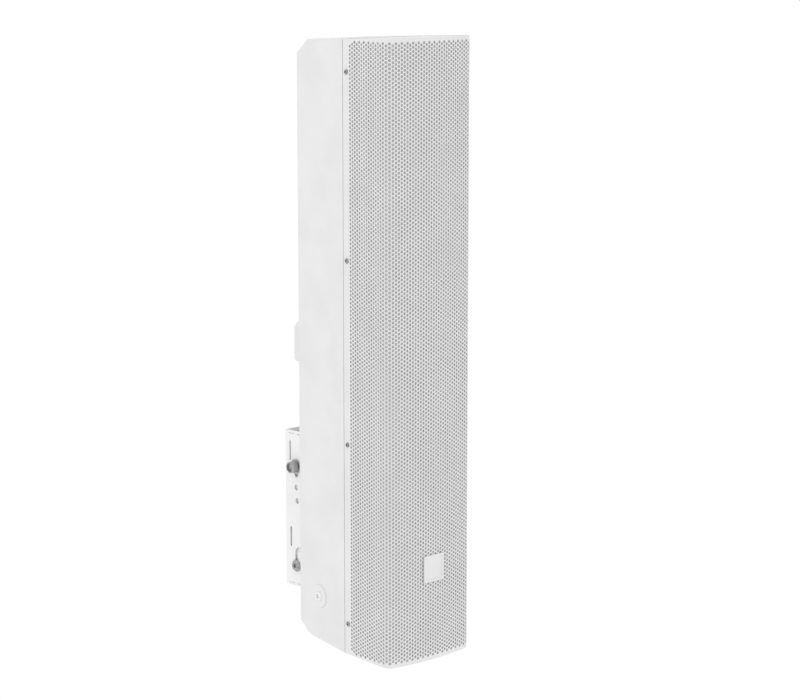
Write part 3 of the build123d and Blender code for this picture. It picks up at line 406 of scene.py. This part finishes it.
finishes = {
    "grille_steel": painted(
        "powder_coat_grille", GRILLE_WHITE, grain_mm=0.9, relief_mm=0.035, rough=0.46, edge_mm=0.25
    ),
    "white_steel": painted(
        "powder_coat_white", STEEL_WHITE, grain_mm=0.9, relief_mm=0.035, rough=0.46, edge_mm=0.5
    ),
    "white_shell": painted(
        "textured_shell_white", SHELL_WHITE, grain_mm=1.3, relief_mm=0.07, rough=0.56, edge_mm=0.9
    ),
    "bolt_steel": machined("zinc_bolt_steel", STEEL, grey(0.24, 0.005), rough=0.34),
    "screw_steel": machined("dark_screw_steel", grey(0.37, 0.005), grey(0.17, 0.002), rough=0.38),
    "baffle_board": pulp(
        "painted_fibreboard",
        grey(0.060, 0.002),
        grey(0.030, 0.001),
        grain_mm=2.5,
        relief_mm=0.10,
        rough=0.75,
    ),
    "gasket_foam": gasket(),
    "scrim_cloth": woven(
        "scrim_cloth", (0.700, 0.694, 0.700), (0.490, 0.484, 0.490), pitch_mm=0.7, relief_mm=0.08
    ),
    "basket_steel": moulded(
        "coated_basket_steel", grey(0.045, 0.003), rough=0.42, grain_mm=1.2, relief_mm=0.04
    ),
    "ferrite": pulp(
        "sintered_ferrite",
        grey(0.10, 0.005),
        grey(0.055, 0.005),
        grain_mm=0.8,
        relief_mm=0.04,
        rough=0.6,
    ),
    "plate_steel": machined(
        "passivated_plate_steel", (0.52, 0.49, 0.40), (0.36, 0.30, 0.20), rough=0.36
    ),
    "cone_paper": pulp(
        "cone_paper", grey(0.085), grey(0.035, 0.001), grain_mm=1.2, relief_mm=0.10, rough=0.85
    ),
    "coil_copper": windings(),
    "roll_rubber": moulded(
        "surround_rubber", grey(0.030, 0.001), rough=0.62, grain_mm=0.7, relief_mm=0.02
    ),
    "spider_cloth": woven(
        "spider_cloth", (0.62, 0.47, 0.22), (0.38, 0.27, 0.11), pitch_mm=0.9, relief_mm=0.12
    ),
    "horn_plastic": moulded("waveguide_plastic", grey(0.055, 0.002), rough=0.48),
    "dome_cloth": woven(
        "dome_silk",
        grey(0.10),
        grey(0.04),
        pitch_mm=0.35,
        relief_mm=0.04,
        rough=0.6,
        sheen=0.3,
    ),
    "board_laminate": circuit_board(),
    "part_film": moulded(
        "capacitor_film", (0.62, 0.18, 0.05), rough=0.3, grain_mm=1.5, relief_mm=0.02
    ),
    "part_ceramic": pulp(
        "resistor_ceramic",
        (0.74, 0.72, 0.66),
        (0.60, 0.58, 0.52),
        grain_mm=0.8,
        relief_mm=0.06,
        rough=0.8,
    ),
    "standoff_brass": machined(
        "turned_brass", (0.76, 0.58, 0.26), (0.50, 0.36, 0.14), rough=0.28
    ),
    "terminal_plastic": moulded("terminal_plastic", (0.05, 0.16, 0.07), rough=0.45),
    "wadding": pulp(
        "polyester_wadding",
        (0.80, 0.80, 0.78),
        (0.55, 0.55, 0.54),
        grain_mm=3.0,
        relief_mm=1.2,
        rough=0.95,
    ),
}

for entry in frame["record"]["subparts"]:
    node = nodes[entry["node"]]
    for place in node.material_slots:
        place.material = finishes[entry["material_slot"]]

# ---------------------------------------------------------------- perforated grille

grille_low, grille_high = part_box("grille")
front_half = 93.0 * MM
seam_half = 90.75 * MM
seam_depth = 104.0 * MM
bulge = 9.6 * MM
corner_radius = 14.5 * MM
sheet = 1.5 * MM
end_draft = 0.0375
hole_radius = 2.38 * MM
row_pitch = 6.35 * MM
column_pitch = 5.5 * MM
outer_column = 32
outer_row = 156
least_rim = 5.25 * MM
rim_steps = 12
hem_steps = 3
crease_angle = math.radians(35)
past_edge = 1.0  # a height that the sheet's own top and bottom edges cut short

corner_y = grille_low.y + bulge
hem_depth = grille_high.y - corner_y
grille_mid = (grille_low.z + grille_high.z) / 2
grille_half = (grille_high.z - grille_low.z) / 2

# The plan is a shallow arc, a rounded corner and a straight side that closes in towards the rear.
arc_radius = (front_half**2 + bulge**2) / (2 * bulge)
arc_depth = arc_radius - bulge
side_slope = math.atan((front_half - seam_half) / seam_depth)
side_out = np.array([math.cos(side_slope), math.sin(side_slope)])
side_run = np.array([-math.sin(side_slope), math.cos(side_slope)])
start = np.array([front_half, 0.0]) - corner_radius * side_out - np.array([0.0, arc_depth])
along = start @ side_run
across = math.sqrt(along**2 - start @ start + (arc_radius - corner_radius) ** 2)
reach = min(-along - across, across - along, key=abs)
corner_centre = np.array([front_half, 0.0]) - corner_radius * side_out + reach * side_run
corner_start = math.atan2(corner_centre[0], arc_depth - corner_centre[1])
corner_end = math.pi / 2 + side_slope
side_start = corner_centre + corner_radius * side_out
arc_length = arc_radius * corner_start
turn_length = arc_length + corner_radius * (corner_end - corner_start)
hem_length = turn_length + (hem_depth - side_start[1]) / side_run[1]


def wrap(length):
    """The plan point and the outward direction at a length along the sheet from its middle."""
    mirror = -1.0 if length < 0 else 1.0
    length = abs(length)
    if length < arc_length:
        turn = length / arc_radius
        x = arc_radius * math.sin(turn)
        depth = arc_depth - arc_radius * math.cos(turn)
    elif length < turn_length:
        turn = corner_start + (length - arc_length) / corner_radius
        x = corner_centre[0] + corner_radius * math.sin(turn)
        depth = corner_centre[1] - corner_radius * math.cos(turn)
    else:
        turn = corner_end
        x, depth = side_start + (length - turn_length) * side_run
    return mirror * x, depth, mirror * math.sin(turn), -math.cos(turn)


class Sheet:
    """Points on both faces of the wrapped sheet, and the faces between them."""

    def __init__(self):
        self.points = []
        self.faces = []

    def point(self, length, height):
        """Adds a place on the sheet and gives its number. Its inner twin has the next one."""
        x, depth, out_x, out_y = wrap(length)
        edge = grille_half - end_draft * (depth + bulge)
        height = max(-edge, min(edge, height))
        z = grille_mid + height
        self.points.append((x, corner_y + depth, z))
        self.points.append((x - sheet * out_x, corner_y + depth - sheet * out_y, z))
        return len(self.points) - 2

    def panel(self, *corners):
        """A face on the outer side and its twin on the inner side."""
        self.faces.append(corners)
        self.faces.append(tuple(c + 1 for c in reversed(corners)))

    def wall(self, first, second):
        """A face through the sheet's thickness."""
        self.faces.append((second, first, first + 1, second + 1))


def perforated(name, first_column, last_column, hem_first=False, hem_last=False):
    """Some of the grille's columns of holes as one closed sheet, with a plain hem on either side."""
    made = Sheet()
    stops = [(c - 0.5) * column_pitch for c in range(first_column, last_column + 2)]
    columns = list(range(first_column, last_column + 1))
    hem_width = hem_length - (outer_column + 0.5) * column_pitch
    hem_stops = [hem_width * (i + 1) / hem_steps for i in range(hem_steps)]
    if hem_first:
        stops = [stops[0] - stop for stop in reversed(hem_stops)] + stops
        columns = [None] * hem_steps + columns
    if hem_last:
        stops = stops + [stops[-1] + stop for stop in hem_stops]
        columns = columns + [None] * hem_steps
    last_line = outer_row + 1
    lines = list(range(-last_line - 1, last_line + 2))
    half_pitch = row_pitch / 2
    grid = []
    for stop in stops:
        rail = {}
        for line in lines:
            height = line * half_pitch
            if abs(line) > last_line:
                height = math.copysign(past_edge, line)
            rail[line] = made.point(stop, height)
        grid.append(rail)
    for i, column in enumerate(columns):
        left, right = grid[i], grid[i + 1]
        taken = set()
        if column is not None:
            centre = column * column_pitch
            depth = wrap(centre)[1]
            room = grille_half - end_draft * (depth + bulge)
            for row in range(-outer_row, outer_row + 1):
                if (row - column) % 2 or room - abs(row) * half_pitch < least_rim:
                    continue
                taken.update((row - 1, row))
                rim = []
                for step in range(rim_steps):
                    angle = math.tau * step / rim_steps
                    rim.append(
                        made.point(
                            centre + hole_radius * math.cos(angle),
                            row * half_pitch + hole_radius * math.sin(angle),
                        )
                    )
                low, mid, high = row - 1, row, row + 1
                made.panel(rim[0], right[mid], right[high], rim[1])
                made.panel(rim[1], right[high], rim[2])
                made.panel(rim[2], right[high], rim[3])
                made.panel(rim[3], right[high], left[high])
                made.panel(rim[3], left[high], rim[4])
                made.panel(rim[4], left[high], rim[5])
                made.panel(rim[5], left[high], left[mid], rim[6])
                made.panel(rim[6], left[mid], left[low], rim[7])
                made.panel(rim[7], left[low], rim[8])
                made.panel(rim[8], left[low], rim[9])
                made.panel(rim[9], left[low], right[low])
                made.panel(rim[9], right[low], rim[10])
                made.panel(rim[10], right[low], rim[11])
                made.panel(rim[11], right[low], right[mid], rim[0])
                for step in range(rim_steps):
                    made.wall(rim[(step + 1) % rim_steps], rim[step])
        for line in lines[:-1]:
            if line not in taken:
                made.panel(left[line], right[line], right[line + 1], left[line + 1])
        made.wall(left[lines[0]], right[lines[0]])
        made.wall(right[lines[-1]], left[lines[-1]])
    for line in lines[:-1]:
        made.wall(grid[-1][line], grid[-1][line + 1])
        made.wall(grid[0][line + 1], grid[0][line])
    piece = mesh_object(name, made.points, made.faces)
    for polygon in piece.data.polygons:
        polygon.use_smooth = True
    piece.data.set_sharp_from_angle(angle=crease_angle)
    piece.data.materials.append(finishes["grille_steel"])
    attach(piece, "speaker")
    return piece


side_column = 19
sections = (
    perforated("grille_left_flank", -outer_column, -side_column, hem_first=True),
    perforated("grille_front_left", 1 - side_column, 0),
    perforated("grille_front_right", 1, side_column - 1),
    perforated("grille_right_flank", side_column, outer_column, hem_last=True),
)
for section in sections:
    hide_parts("grille")

# ---------------------------------------------------------------- floor finish

floor_look = {"Emission_Color": (1, 1, 1, 1), "Emission_Strength": floor_glow}
floor_finish = Finish("studio_floor", rough=0.8, **floor_look)
floor_clouds = floor_finish.spread(floor_finish.noise(900, detail=3), 0.3, 0.7)
floor_finish.colour(floor_finish.blend(floor_clouds, grey(0.955), grey(0.97)))
floor.data.materials.append(floor_finish.material)
